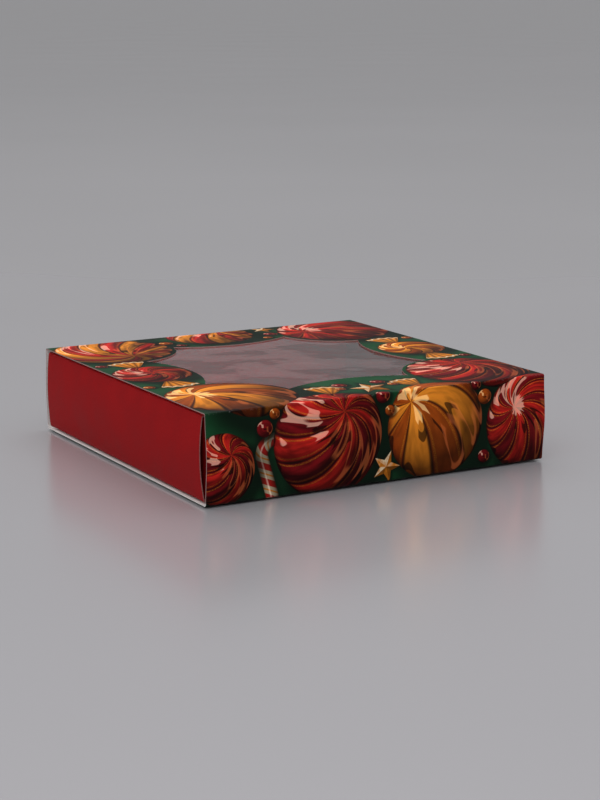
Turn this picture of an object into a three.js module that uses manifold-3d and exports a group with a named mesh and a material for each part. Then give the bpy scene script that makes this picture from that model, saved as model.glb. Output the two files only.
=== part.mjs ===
// Candy box: a printed slip sleeve with a film window, and a roll-over tray that slides through it.
// Both are folded from carton board, so every panel between two creases is a piece of its own.
// Millimetres. +X runs along the sleeve, -Y is the front, +Z is up, and the origin is the centre
// of the footprint on the table.
import * as THREE from "three";
import { mergeVertices } from "three/addons/utils/BufferGeometryUtils.js";
import Module from "manifold-3d";

const wasm = await Module();
wasm.setup();

// Sleeve
const SLEEVE_LENGTH = 145; // open end to open end
const SLEEVE_WIDTH = 145; // over the front and back walls
const SLEEVE_HEIGHT = 33.5; // over the top and bottom panels
const BOARD = 0.4; // caliper of the carton board
const CREASE_INSIDE_RADIUS = 0.3;
const GLUE_FLAP_WIDTH = 15;
const GLUE_FLAP_TAPER = 5; // how far each end of the flap is cut back at its free edge
const SEAM_GLUE_MARGIN = 2.5; // bare strip around the glue on the flap
const GLUE = 0.1; // thickness of a glue layer

// Window: eight concave arcs that meet in cusps
const WINDOW_SPAN = 98; // cusp to cusp across the window, both ways
const CUSP_OFFSET = 26; // from the window's centre line to the cusps beside it
const CORNER_SCOOP_RADIUS = 27;
const SIDE_DIP = 7; // how far each side bows in between its two cusps
const FILM = 0.15;
const FILM_LAP = 7; // film hidden behind the board around the window
const FILM_CORNER_RADIUS = 4;
const FILM_GLUE_MARGIN = 1.5; // bare strip between the glue and both edges of the lap

// Tray
const SIDE_PLAY = 0.5; // tray wall to sleeve wall
const FLOOR_PLAY = 0.2; // tray base to the sleeve's glue flap
const TOP_PLAY = 0.4; // tray ridge to the film
const END_SETBACK = 0.5; // sleeve end to the foot of the tray's end wall
const END_LEAN = 16.5; // degrees an end wall leans out as it leaves the crease at its foot
const END_WALL_INSET = 1.9; // tray side to the cut edge of an end wall
const SIDE_WALL_DROP = 0.5; // side wall's cut edge below the end ridge
const TAB_PLAY = 0.4; // corner tab to the two layers that trap it
const TAB_WIDTH = 34;
const TAB_HEIGHT_PLAY = 0.5; // tab to the base below and to the ridge above
const TAB_TAPER = 3; // how much the tab narrows at its free edge, top and bottom
const LINING_INSET = 1.2; // side wall to the cut edge of an end lining
const TONGUE_WIDTH = 24;
const TONGUE_TAPER = 2; // each side of a tongue, over its depth
const TONGUE_SPACING = 64; // between the two tongues of one lining
const SLOT_PLAY = 0.3; // tongue to the walls of its slot

// Facets
const CREASE_STEPS = 5;
const BOW_STEPS = 10;
const WINDOW_ARC_STEPS = 10;
const FILM_CORNER_STEPS = 5;

// Levels and faces that several pieces share
const CREASE_RADIUS = CREASE_INSIDE_RADIUS + BOARD;
const HALF_LENGTH = SLEEVE_LENGTH / 2;
const HALF_WIDTH = SLEEVE_WIDTH / 2;
const SLEEVE_CEILING = SLEEVE_HEIGHT - BOARD;
const FILM_TOP = SLEEVE_CEILING - GLUE;
const FLAP_UNDERSIDE = BOARD + GLUE;
const TRAY_FOOT = FLAP_UNDERSIDE + BOARD + FLOOR_PLAY;
const TRAY_FLOOR = TRAY_FOOT + BOARD;
const TRAY_TOP = FILM_TOP - FILM - TOP_PLAY;
const TRAY_HALF_LENGTH = HALF_LENGTH - END_SETBACK;
const TRAY_HALF_WIDTH = HALF_WIDTH - BOARD - SIDE_PLAY;
const END_WALL_HALF_WIDTH = TRAY_HALF_WIDTH - END_WALL_INSET;
const TAB_FACE = TRAY_HALF_LENGTH - BOARD - TAB_PLAY; // outside face of the corner tabs
const LINING_FACE = TAB_FACE - BOARD - TAB_PLAY; // face of the lining that meets the tabs
const RIDGE_WIDTH = TRAY_HALF_LENGTH - LINING_FACE + BOARD;
const SIDE_WALL_HALF_LENGTH = TAB_FACE - CREASE_RADIUS;
const LINING_HALF_WIDTH = TRAY_HALF_WIDTH - BOARD - LINING_INSET;

const printedBoard = new THREE.MeshStandardMaterial({ color: 0x14402a, roughness: 0.35 });
const redBoard = new THREE.MeshStandardMaterial({ color: 0x8c1518, roughness: 0.5 });
const clearFilm = new THREE.MeshStandardMaterial({
  color: 0xe6ecee,
  roughness: 0.08,
  transparent: true,
  opacity: 0.25,
});
const driedGlue = new THREE.MeshStandardMaterial({ color: 0xe8e2cf, roughness: 0.6 });

// Extrusions of a flat outline along one axis. Each swaps axes without turning the numbers, so
// faces that share a level stay exactly on it.
const X = new THREE.Vector3(1, 0, 0);
const Y = new THREE.Vector3(0, 1, 0);
const Z = new THREE.Vector3(0, 0, 1);

function extruded(shape, from, to, axes) {
  const geometry = new THREE.ExtrudeGeometry(shape, { depth: to - from, bevelEnabled: false });
  return geometry.translate(0, 0, from).applyMatrix4(new THREE.Matrix4().makeBasis(...axes));
}
const alongX = (shapeYZ, from, to) => extruded(shapeYZ, from, to, [Y, Z, X]);
const alongZ = (shapeXY, from, to) => extruded(shapeXY, from, to, [X, Y, Z]);
const alongY = (shapeXZ, half) => extruded(shapeXZ, -half, half, [X, Z, Y.clone().negate()]);

// Boolean operations on closed geometries.
function solidOf(geometry) {
  const bare = new THREE.BufferGeometry().setAttribute("position", geometry.getAttribute("position"));
  if (geometry.index) bare.setIndex(geometry.index);
  const merged = mergeVertices(bare);
  const vertProperties = merged.getAttribute("position").array;
  const triVerts = new Uint32Array(merged.index.array);
  return new wasm.Manifold(new wasm.Mesh({ numProp: 3, vertProperties, triVerts }));
}

function geometryOf(solid) {
  const { vertProperties, triVerts } = solid.getMesh();
  return new THREE.BufferGeometry()
    .setAttribute("position", new THREE.BufferAttribute(vertProperties, 3))
    .setIndex(new THREE.BufferAttribute(triVerts, 1));
}
const cut = (body, tool) => geometryOf(solidOf(body).subtract(solidOf(tool)));
const keep = (body, tool) => geometryOf(solidOf(body).intersect(solidOf(tool)));

// Section of a folded board. A walk along the printed face goes straight or bends, always with
// the board on its right, and the unprinted face runs back at the board's thickness.
function boardSection(start, heading, steps) {
  const printed = [];
  const unprinted = [];
  let [u, v] = start;
  let angle = heading;
  const mark = () => {
    printed.push(new THREE.Vector2(u, v));
    unprinted.unshift(new THREE.Vector2(u + BOARD * Math.sin(angle), v - BOARD * Math.cos(angle)));
  };
  mark();
  for (const { run = 0, turn = 0, radius = CREASE_RADIUS, parts = CREASE_STEPS } of steps) {
    const pivot = [u + radius * Math.sin(angle), v - radius * Math.cos(angle)];
    const pieces = turn ? parts : 1;
    for (let i = 0; i < pieces; i++) {
      angle -= turn / pieces;
      u = turn ? pivot[0] - radius * Math.sin(angle) : u + run * Math.cos(angle);
      v = turn ? pivot[1] + radius * Math.cos(angle) : v + run * Math.sin(angle);
      mark();
    }
  }
  return [...printed, ...unprinted];
}
const UP = Math.PI / 2;
const LEFT = Math.PI;
const RIGHT = 0;
const RIGHT_ANGLE = Math.PI / 2;
const FOLD = { turn: RIGHT_ANGLE };

// An outline drawn for the left or front, put on the side that the signs name.
function placed(points, signU, signV = -1) {
  return new THREE.Shape(points.map((p) => new THREE.Vector2(-signU * p.x, -signV * p.y)));
}

function rectangle(halfU, halfV) {
  return new THREE.Shape([
    new THREE.Vector2(-halfU, -halfV),
    new THREE.Vector2(halfU, -halfV),
    new THREE.Vector2(halfU, halfV),
    new THREE.Vector2(-halfU, halfV),
  ]);
}

function roundedSquare(half, radius) {
  const points = [];
  for (let corner = 0; corner < 4; corner++) {
    const middle = new THREE.Vector2(half - radius, half - radius);
    middle.rotateAround(new THREE.Vector2(), (corner * Math.PI) / 2);
    for (let i = 0; i <= FILM_CORNER_STEPS; i++) {
      const angle = ((corner + i / FILM_CORNER_STEPS) * Math.PI) / 2;
      points.push(new THREE.Vector2(Math.cos(angle), Math.sin(angle)).multiplyScalar(radius).add(middle));
    }
  }
  return new THREE.Shape(points);
}

// A concave arc from one cusp to the next, without its last point. The dip is measured from the
// chord towards the window's centre.
function scallop(from, to, dip) {
  const chord = to.clone().sub(from);
  const half = chord.length() / 2;
  const radius = (half * half + dip * dip) / (2 * dip);
  const inward = new THREE.Vector2(-chord.y, chord.x).normalize();
  const pivot = from.clone().addScaledVector(chord, 0.5).addScaledVector(inward, dip - radius);
  const sweep = 2 * Math.asin(half / radius);
  return Array.from({ length: WINDOW_ARC_STEPS }, (_, i) =>
    from.clone().rotateAround(pivot, (-sweep * i) / WINDOW_ARC_STEPS),
  );
}

function windowOutline() {
  const halfSpan = WINDOW_SPAN / 2;
  const halfScoopChord = (halfSpan - CUSP_OFFSET) / Math.SQRT2;
  const scoopDip = CORNER_SCOOP_RADIUS - Math.sqrt(CORNER_SCOOP_RADIUS ** 2 - halfScoopChord ** 2);
  const points = [];
  for (let quarter = 0; quarter < 4; quarter++) {
    const centre = new THREE.Vector2();
    const cusp = (x, y) => new THREE.Vector2(x, y).rotateAround(centre, (quarter * Math.PI) / 2);
    const first = cusp(halfSpan, -CUSP_OFFSET);
    const second = cusp(halfSpan, CUSP_OFFSET);
    const third = cusp(CUSP_OFFSET, halfSpan);
    points.push(...scallop(first, second, SIDE_DIP));
    points.push(...scallop(second, third, scoopDip));
  }
  return new THREE.Shape(points);
}

const box = new THREE.Group();
const sleeve = new THREE.Group();
const tray = new THREE.Group();
box.add(sleeve, tray);

function piece(group, name, geometry, material) {
  const mesh = new THREE.Mesh(geometry, material.clone());
  mesh.name = name;
  group.add(mesh);
}

// Sleeve: top panel with both of its creases, the front and back walls between the creases, the
// bottom panel with the front crease and a bare cut edge at the back, and the glue flap that
// folds in from the back wall and lies on the bottom panel.
function sleeveTopPanel() {
  const across = { run: SLEEVE_WIDTH - 2 * CREASE_RADIUS };
  const section = boardSection([-HALF_WIDTH, SLEEVE_HEIGHT - CREASE_RADIUS], UP, [FOLD, across, FOLD]);
  const panel = alongX(new THREE.Shape(section), -HALF_LENGTH, HALF_LENGTH);
  return cut(panel, alongZ(windowOutline(), SLEEVE_CEILING - BOARD, SLEEVE_HEIGHT + BOARD));
}

function sleeveFrontWall() {
  const rise = { run: SLEEVE_HEIGHT - 2 * CREASE_RADIUS };
  const section = boardSection([-HALF_WIDTH, CREASE_RADIUS], UP, [rise]);
  return alongX(new THREE.Shape(section), -HALF_LENGTH, HALF_LENGTH);
}

function sleeveBottomPanel() {
  const across = { run: SLEEVE_WIDTH - CREASE_RADIUS };
  const section = boardSection([HALF_WIDTH, 0], LEFT, [across, FOLD]);
  return alongX(new THREE.Shape(section), -HALF_LENGTH, HALF_LENGTH);
}

function sleeveBackWall() {
  const foot = FLAP_UNDERSIDE + CREASE_RADIUS;
  const drop = { run: SLEEVE_HEIGHT - CREASE_RADIUS - foot };
  const section = boardSection([HALF_WIDTH, SLEEVE_HEIGHT - CREASE_RADIUS], -UP, [drop]);
  return alongX(new THREE.Shape(section), -HALF_LENGTH, HALF_LENGTH);
}

function sleeveGlueFlap() {
  const inward = { run: GLUE_FLAP_WIDTH - CREASE_RADIUS };
  const section = boardSection([HALF_WIDTH, FLAP_UNDERSIDE + CREASE_RADIUS], -UP, [FOLD, inward]);
  const flap = alongX(new THREE.Shape(section), -HALF_LENGTH, HALF_LENGTH);
  const freeEdge = HALF_WIDTH - GLUE_FLAP_WIDTH;
  const taperStart = HALF_WIDTH - CREASE_RADIUS;
  const outline = new THREE.Shape([
    new THREE.Vector2(-HALF_LENGTH, HALF_WIDTH + BOARD),
    new THREE.Vector2(-HALF_LENGTH, taperStart),
    new THREE.Vector2(GLUE_FLAP_TAPER - HALF_LENGTH, freeEdge),
    new THREE.Vector2(HALF_LENGTH - GLUE_FLAP_TAPER, freeEdge),
    new THREE.Vector2(HALF_LENGTH, taperStart),
    new THREE.Vector2(HALF_LENGTH, HALF_WIDTH + BOARD),
  ]);
  return keep(flap, alongZ(outline, 0, FLAP_UNDERSIDE + 2 * CREASE_RADIUS));
}

function sleeveSeamGlue() {
  const halfStrip = GLUE_FLAP_WIDTH / 2 - SEAM_GLUE_MARGIN;
  const strip = rectangle(HALF_LENGTH - GLUE_FLAP_TAPER - SEAM_GLUE_MARGIN, halfStrip);
  return alongZ(strip, BOARD, FLAP_UNDERSIDE).translate(0, HALF_WIDTH - GLUE_FLAP_WIDTH / 2, 0);
}

piece(sleeve, "sleeve_top_panel", sleeveTopPanel(), printedBoard);
piece(sleeve, "sleeve_front_wall", sleeveFrontWall(), printedBoard);
piece(sleeve, "sleeve_bottom_panel", sleeveBottomPanel(), printedBoard);
piece(sleeve, "sleeve_back_wall", sleeveBackWall(), printedBoard);
piece(sleeve, "sleeve_glue_flap", sleeveGlueFlap(), printedBoard);
piece(sleeve, "sleeve_seam_glue", sleeveSeamGlue(), driedGlue);

// Window film, glued to the unprinted side of the top panel by a frame of glue around the window.
const FILM_HALF = WINDOW_SPAN / 2 + FILM_LAP;

function windowGlueFrame() {
  const frame = roundedSquare(FILM_HALF - FILM_GLUE_MARGIN, FILM_CORNER_RADIUS);
  frame.holes.push(roundedSquare(WINDOW_SPAN / 2 + FILM_GLUE_MARGIN, FILM_CORNER_RADIUS));
  return alongZ(frame, FILM_TOP, SLEEVE_CEILING);
}

const filmSheet = alongZ(roundedSquare(FILM_HALF, FILM_CORNER_RADIUS), FILM_TOP - FILM, FILM_TOP);
piece(sleeve, "window_film", filmSheet, clearFilm);
piece(sleeve, "window_glue_frame", windowGlueFrame(), driedGlue);

// Tray base, with slots that take the tongues of both end linings.
function trayBase() {
  const sheet = rectangle(TRAY_HALF_LENGTH - CREASE_RADIUS, TRAY_HALF_WIDTH - CREASE_RADIUS);
  const slot = rectangle(BOARD / 2 + SLOT_PLAY, TONGUE_WIDTH / 2 + SLOT_PLAY);
  let base = alongZ(sheet, TRAY_FOOT, TRAY_FLOOR);
  for (const end of [-1, 1]) {
    for (const along of [-1, 1]) {
      const punch = alongZ(slot, TRAY_FOOT - BOARD, TRAY_FLOOR + BOARD);
      punch.translate(end * (LINING_FACE - BOARD / 2), (along * TONGUE_SPACING) / 2, 0);
      base = cut(base, punch);
    }
  }
  return base;
}
piece(tray, "tray_base", trayBase(), redBoard);

// End wall of the tray: three layers deep under its ridge. The outer wall springs out in a bow,
// the ridge rolls over the top, and the lining comes down inside and locks into the base.
const LEAN = THREE.MathUtils.degToRad(END_LEAN);
const BOW_CHORD = TRAY_TOP - TRAY_FOOT - 2 * CREASE_RADIUS * (1 - Math.sin(LEAN));
const END_CREASE = CREASE_RADIUS - TRAY_HALF_LENGTH; // where the left end's creases leave the flat

function trayEndWall(end) {
  const openFold = { turn: RIGHT_ANGLE - LEAN };
  const bow = { turn: 2 * LEAN, radius: BOW_CHORD / 2 / Math.sin(LEAN), parts: BOW_STEPS };
  const section = boardSection([END_CREASE, TRAY_FOOT], LEFT, [openFold, bow, openFold]);
  return alongY(placed(section, end), END_WALL_HALF_WIDTH);
}

function trayEndRidge(end) {
  const flat = { run: RIDGE_WIDTH - 2 * CREASE_RADIUS };
  const section = boardSection([END_CREASE, TRAY_TOP], RIGHT, [flat, FOLD]);
  return alongY(placed(section, end), END_WALL_HALF_WIDTH);
}

function trayEndLining(end) {
  const outline = [new THREE.Vector2(-LINING_HALF_WIDTH, TRAY_FLOOR)];
  for (const along of [-1, 1]) {
    const middle = (along * TONGUE_SPACING) / 2;
    const root = TONGUE_WIDTH / 2;
    const tip = root - TONGUE_TAPER;
    outline.push(new THREE.Vector2(middle - root, TRAY_FLOOR));
    outline.push(new THREE.Vector2(middle - tip, TRAY_FOOT));
    outline.push(new THREE.Vector2(middle + tip, TRAY_FOOT));
    outline.push(new THREE.Vector2(middle + root, TRAY_FLOOR));
  }
  outline.push(new THREE.Vector2(LINING_HALF_WIDTH, TRAY_FLOOR));
  outline.push(new THREE.Vector2(LINING_HALF_WIDTH, TRAY_TOP - CREASE_RADIUS));
  outline.push(new THREE.Vector2(-LINING_HALF_WIDTH, TRAY_TOP - CREASE_RADIUS));
  const faces = [end * LINING_FACE, end * (LINING_FACE - BOARD)];
  return alongX(new THREE.Shape(outline), Math.min(...faces), Math.max(...faces));
}

for (const [end, name] of [[-1, "left"], [1, "right"]]) {
  piece(tray, `tray_${name}_end_wall`, trayEndWall(end), redBoard);
  piece(tray, `tray_${name}_end_ridge`, trayEndRidge(end), redBoard);
  piece(tray, `tray_${name}_end_lining`, trayEndLining(end), redBoard);
}

// Side wall of the tray: one layer with a free cut edge, and at each end a corner tab that folds
// in behind the end wall and is trapped by the lining.
function traySideWall(side) {
  const rise = { run: TRAY_TOP - SIDE_WALL_DROP - TRAY_FOOT - CREASE_RADIUS };
  const section = boardSection([CREASE_RADIUS - TRAY_HALF_WIDTH, TRAY_FOOT], LEFT, [FOLD, rise]);
  return alongX(placed(section, side), -SIDE_WALL_HALF_LENGTH, SIDE_WALL_HALF_LENGTH);
}

function trayCornerTab(end, side) {
  const leaf = { run: TAB_WIDTH - CREASE_RADIUS };
  const section = boardSection([-SIDE_WALL_HALF_LENGTH, -TRAY_HALF_WIDTH], LEFT, [FOLD, leaf]);
  const low = TRAY_FLOOR + TAB_HEIGHT_PLAY;
  const high = TRAY_TOP - BOARD - TAB_HEIGHT_PLAY;
  const strip = alongZ(placed(section, end, side), low, high);
  const root = CREASE_RADIUS - TRAY_HALF_WIDTH;
  const outline = [
    new THREE.Vector2(-HALF_WIDTH, low),
    new THREE.Vector2(root, low),
    new THREE.Vector2(TAB_WIDTH - TRAY_HALF_WIDTH, low + TAB_TAPER),
    new THREE.Vector2(TAB_WIDTH - TRAY_HALF_WIDTH, high - TAB_TAPER),
    new THREE.Vector2(root, high),
    new THREE.Vector2(-HALF_WIDTH, high),
  ];
  return keep(strip, alongX(placed(outline, side), -HALF_LENGTH, HALF_LENGTH));
}

for (const [side, name] of [[-1, "front"], [1, "back"]]) {
  piece(tray, `tray_${name}_wall`, traySideWall(side), redBoard);
  piece(tray, `tray_${name}_left_tab`, trayCornerTab(-1, side), redBoard);
  piece(tray, `tray_${name}_right_tab`, trayCornerTab(1, side), redBoard);
}

export default box;
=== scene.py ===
import math

import bmesh
import bpy
from mathutils import Matrix, Vector


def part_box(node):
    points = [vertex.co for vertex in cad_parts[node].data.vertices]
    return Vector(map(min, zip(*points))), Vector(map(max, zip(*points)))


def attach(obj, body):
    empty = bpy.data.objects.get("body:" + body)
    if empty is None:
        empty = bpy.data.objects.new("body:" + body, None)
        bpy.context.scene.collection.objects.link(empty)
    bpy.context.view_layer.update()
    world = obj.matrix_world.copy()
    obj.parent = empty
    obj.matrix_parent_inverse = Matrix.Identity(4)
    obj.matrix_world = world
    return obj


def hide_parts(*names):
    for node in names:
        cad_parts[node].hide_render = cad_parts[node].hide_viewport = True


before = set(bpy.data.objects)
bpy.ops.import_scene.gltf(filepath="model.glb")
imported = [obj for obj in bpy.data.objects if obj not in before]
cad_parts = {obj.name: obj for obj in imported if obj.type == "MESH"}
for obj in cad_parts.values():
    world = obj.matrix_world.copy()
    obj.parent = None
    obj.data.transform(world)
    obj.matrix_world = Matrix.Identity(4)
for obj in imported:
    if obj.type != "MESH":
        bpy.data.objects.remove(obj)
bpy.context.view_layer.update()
print("frame loaded:", len(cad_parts), "nodes")

millimetre = 0.001
nearly = 0.001 * millimetre  # places closer than this count as one

# sizes that the carton pieces share, read off the frame
topLow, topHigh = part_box("sleeve_top_panel")
frontLow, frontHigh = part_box("sleeve_front_wall")
flapLow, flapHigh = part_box("sleeve_glue_flap")
filmLow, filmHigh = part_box("window_film")
baseLow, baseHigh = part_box("tray_base")
board = frontHigh.y - frontLow.y
creaseRadius = topHigh.z - frontHigh.z
sleeveLength = topHigh.x - topLow.x
sleeveWidth = topHigh.y - topLow.y
sleeveHeight = topHigh.z


# edit-mode helpers

def clearSelection():
    if bpy.context.object and bpy.context.object.mode != "OBJECT":
        bpy.ops.object.mode_set(mode="OBJECT")
    bpy.ops.object.select_all(action="DESELECT")


def selectOnly(piece):
    clearSelection()
    piece.select_set(True)
    bpy.context.view_layer.objects.active = piece


def pick(kind, test):
    bpy.ops.mesh.select_all(action="DESELECT")
    bpy.ops.mesh.select_mode(type={"verts": "VERT", "edges": "EDGE", "faces": "FACE"}[kind])
    mesh = bmesh.from_edit_mesh(bpy.context.edit_object.data)
    for part in getattr(mesh, kind):
        corners = [part.co] if kind == "verts" else [v.co for v in part.verts]
        part.select = all(test(co) for co in corners)
    mesh.select_flush_mode()
    bmesh.update_edit_mesh(bpy.context.edit_object.data)


def startBoard(name, corner, across):  # one edge of a new strip of board, left in edit mode
    clearSelection()
    bpy.ops.mesh.primitive_plane_add(size=10 * millimetre, location=corner)
    piece = bpy.context.object
    piece.name = name
    piece.data.name = name
    bpy.ops.object.transform_apply(location=True)
    bpy.ops.object.mode_set(mode="EDIT")
    bpy.ops.mesh.select_mode(type="VERT")
    bpy.ops.mesh.select_all(action="SELECT")
    bpy.ops.mesh.merge(type="CENTER")
    bpy.ops.mesh.extrude_vertices_move(TRANSFORM_OT_translate={"value": across})
    bpy.ops.mesh.select_all(action="SELECT")
    return piece


def walkBoard(start, heading, axis, steps):  # extrudes and spins the open edge, step by step
    at, heading, axis = Vector(start), Vector(heading), Vector(axis)
    for step in steps:
        if "run" in step:
            bpy.ops.mesh.extrude_region_move(TRANSFORM_OT_translate={"value": heading * step["run"]})
            at = at + heading * step["run"]
            continue
        pivot = at + axis.cross(heading) * step["radius"]
        bpy.ops.mesh.spin(steps=step["parts"], angle=-step["turn"], center=pivot, axis=axis)
        rotation = Matrix.Rotation(step["turn"], 3, axis)
        at = pivot + rotation @ (at - pivot)
        heading = rotation @ heading
    return at


def crease(turn=math.pi / 2, radius=creaseRadius, parts=6):
    return {"turn": turn, "radius": radius, "parts": parts}


def cutAcross(axis, low, high, count):  # evenly spaced cuts square to one axis
    normal = [1.0 if i == axis else 0.0 for i in range(3)]
    for i in range(1, count):
        bpy.ops.mesh.select_all(action="SELECT")
        place = [low + (high - low) * i / count if n else 0.0 for n in normal]
        bpy.ops.mesh.bisect(plane_co=place, plane_no=normal)


def swell(centre, push, reach):  # soft push around a point, as a thumb would
    centre = Vector(centre)
    mesh = bmesh.from_edit_mesh(bpy.context.edit_object.data)
    nearest = min((v.co for v in mesh.verts), key=lambda co: (co - centre).length).copy()
    pick("verts", lambda co: (co - nearest).length < nearly)
    bpy.ops.transform.translate(
        value=push,
        use_proportional_edit=True,
        use_proportional_connected=True,
        proportional_edit_falloff="SMOOTH",
        proportional_size=reach,
    )


def faceOut(outside):  # the printed side looks towards that point
    bpy.ops.mesh.select_all(action="SELECT")
    bpy.ops.mesh.remove_doubles(threshold=nearly)
    bpy.ops.mesh.normals_make_consistent(inside=False)
    mesh = bmesh.from_edit_mesh(bpy.context.edit_object.data)
    nearest = min(mesh.faces, key=lambda f: (f.calc_center_median() - Vector(outside)).length)
    if nearest.normal.dot(Vector(outside) - nearest.calc_center_median()) < 0:
        bpy.ops.mesh.flip_normals()


def applyModifier(piece, kind, **settings):
    selectOnly(piece)
    modifier = piece.modifiers.new(kind.title(), kind)
    for key, value in settings.items():
        setattr(modifier, key, value)
    bpy.ops.object.modifier_apply(modifier=modifier.name)


def thicken(piece, materials, thickness=board):  # printed face, then plain inside and cut edges
    bpy.ops.object.mode_set(mode="OBJECT")
    for material in materials:
        piece.data.materials.append(material)
    applyModifier(
        piece,
        "SOLIDIFY",
        thickness=thickness,
        offset=-1.0,
        use_even_offset=True,
        material_offset=1,
        material_offset_rim=2,
    )


def holeCutter(node, isHoleWall, name, stretch=8):  # the walls of a node's own cut-out, made a closed block
    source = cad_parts[node]
    cutter = source.copy()
    cutter.data = source.data.copy()
    cutter.name = name
    cutter.parent = None
    bpy.context.collection.objects.link(cutter)
    selectOnly(cutter)
    bpy.ops.object.mode_set(mode="EDIT")
    bpy.ops.mesh.select_all(action="SELECT")
    bpy.ops.mesh.remove_doubles(threshold=nearly)
    pick("faces", isHoleWall)
    mesh = bmesh.from_edit_mesh(cutter.data)
    for face in mesh.faces:
        face.select = face.select and abs(face.normal.z) < 0.5  # upright ones
    bmesh.update_edit_mesh(cutter.data)
    bpy.ops.mesh.select_all(action="INVERT")
    bpy.ops.mesh.delete(type="FACE")
    bpy.ops.mesh.select_all(action="SELECT")
    low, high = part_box(node)
    bpy.ops.transform.resize(value=(1, 1, stretch), center_override=((low + high) / 2)[:])
    bpy.ops.mesh.select_mode(type="EDGE")
    bpy.ops.mesh.select_all(action="DESELECT")
    bpy.ops.mesh.select_non_manifold(
        extend=False, use_wire=False, use_multi_face=False, use_verts=False
    )
    bpy.ops.mesh.edge_face_add()
    bpy.ops.mesh.select_all(action="SELECT")
    bpy.ops.mesh.normals_make_consistent(inside=False)
    bpy.ops.object.mode_set(mode="OBJECT")
    return cutter


def cutHole(piece, cutter, edgeMaterial):
    cutter.data.materials.clear()
    cutter.data.materials.append(edgeMaterial)
    applyModifier(
        piece, "BOOLEAN", object=cutter, operation="DIFFERENCE", solver="EXACT", material_mode="TRANSFER"
    )
    bpy.data.objects.remove(cutter)


def finishPiece(piece, body, nodes, smoothAngle=30):
    selectOnly(piece)
    bpy.ops.object.shade_smooth_by_angle(angle=math.radians(smoothAngle))
    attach(piece, body)
    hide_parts(*nodes)


# node helpers

def wire(tree, socket, value):
    if isinstance(value, bpy.types.NodeSocket):
        tree.links.new(value, socket)
    elif isinstance(value, (tuple, list, Vector)):
        socket.default_value = (*value, 1.0)[:len(socket.default_value)]
    else:
        socket.default_value = value


def addNode(tree, kind, values, **settings):
    node = tree.nodes.new("ShaderNode" + kind)
    for key, value in settings.items():
        setattr(node, key, value)
    for key, value in values.items():
        wire(tree, node.inputs[key], value)
    return node


def calc(tree, operation, *values):
    return addNode(tree, "Math", dict(enumerate(values)), operation=operation).outputs[0]


def product(tree, first, second):
    return calc(tree, "MULTIPLY", first, second)


def minus(tree, first, second):
    return calc(tree, "SUBTRACT", first, second)


def scaled(tree, value, factor, shift):
    return calc(tree, "MULTIPLY_ADD", value, factor, shift)


def vec(tree, operation, *values):
    node = addNode(tree, "VectorMath", dict(enumerate(values)), operation=operation)
    return node.outputs["Value" if operation in ("DOT_PRODUCT", "LENGTH", "DISTANCE") else "Vector"]


def dot(tree, first, second):
    return vec(tree, "DOT_PRODUCT", first, second)


def times(tree, vector, factor):
    return addNode(tree, "VectorMath", {0: vector, "Scale": factor}, operation="SCALE").outputs["Vector"]


def fade(tree, value, start, end, low=0.0, high=1.0):  # smooth step from one level to another
    values = {"Value": value, "From Min": start, "From Max": end, "To Min": low, "To Max": high}
    node = addNode(tree, "MapRange", values, interpolation_type="SMOOTHSTEP", clamp=False)
    return node.outputs["Result"]


def positive(tree, value):
    return calc(tree, "MAXIMUM", value, 0.0)


def within(tree, value, middle, half, soft):  # 1 inside a band, 0 outside it
    return fade(tree, calc(tree, "ABSOLUTE", minus(tree, value, middle)), half + soft, half)


def mixed(tree, factor, first, second, kind="VECTOR"):  # colours are mixed as vectors
    low = {"FLOAT": 2, "VECTOR": 4}[kind]
    node = addNode(tree, "Mix", {0: factor, low: first, low + 1: second}, data_type=kind)
    return node.outputs[low // 2 - 1]


def split(tree, vector, count=3):  # by dot products, which take less of the shader's stack
    axes = ((1, 0, 0), (0, 1, 0), (0, 0, 1))[:count]
    return [dot(tree, vector, axis) for axis in axes]


def joined(tree, x, y, z):
    return addNode(tree, "CombineXYZ", {0: x, 1: y, 2: z}).outputs[0]


def turned(tree, vector, angle):
    values = {"Vector": vector, "Angle": angle}
    return addNode(tree, "VectorRotate", values, rotation_type="Z_AXIS").outputs[0]


def noise(tree, vector, scale, detail=2.0, roughness=0.5):
    values = {"Vector": vector, "Scale": scale, "Detail": detail, "Roughness": roughness}
    return addNode(tree, "TexNoise", values).outputs[0]


def startGroup(name, inputs, outputs):
    tree = bpy.data.node_groups.new(name, "ShaderNodeTree")
    kinds = {"f": "NodeSocketFloat", "v": "NodeSocketVector"}
    for way, sockets in (("INPUT", inputs), ("OUTPUT", outputs)):
        for socket, kind in sockets.items():
            tree.interface.new_socket(socket, in_out=way, socket_type=kinds[kind])
    return tree, tree.nodes.new("NodeGroupInput").outputs, tree.nodes.new("NodeGroupOutput").inputs


def useGroup(tree, group, **values):
    node = tree.nodes.new("ShaderNodeGroup")
    node.node_tree = group
    for key, value in values.items():
        wire(tree, node.inputs[key], value)
    return node.outputs


# the print: boiled sweets, a cane and stars on deep green, drawn on the unfolded sheet in millimetres

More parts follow.
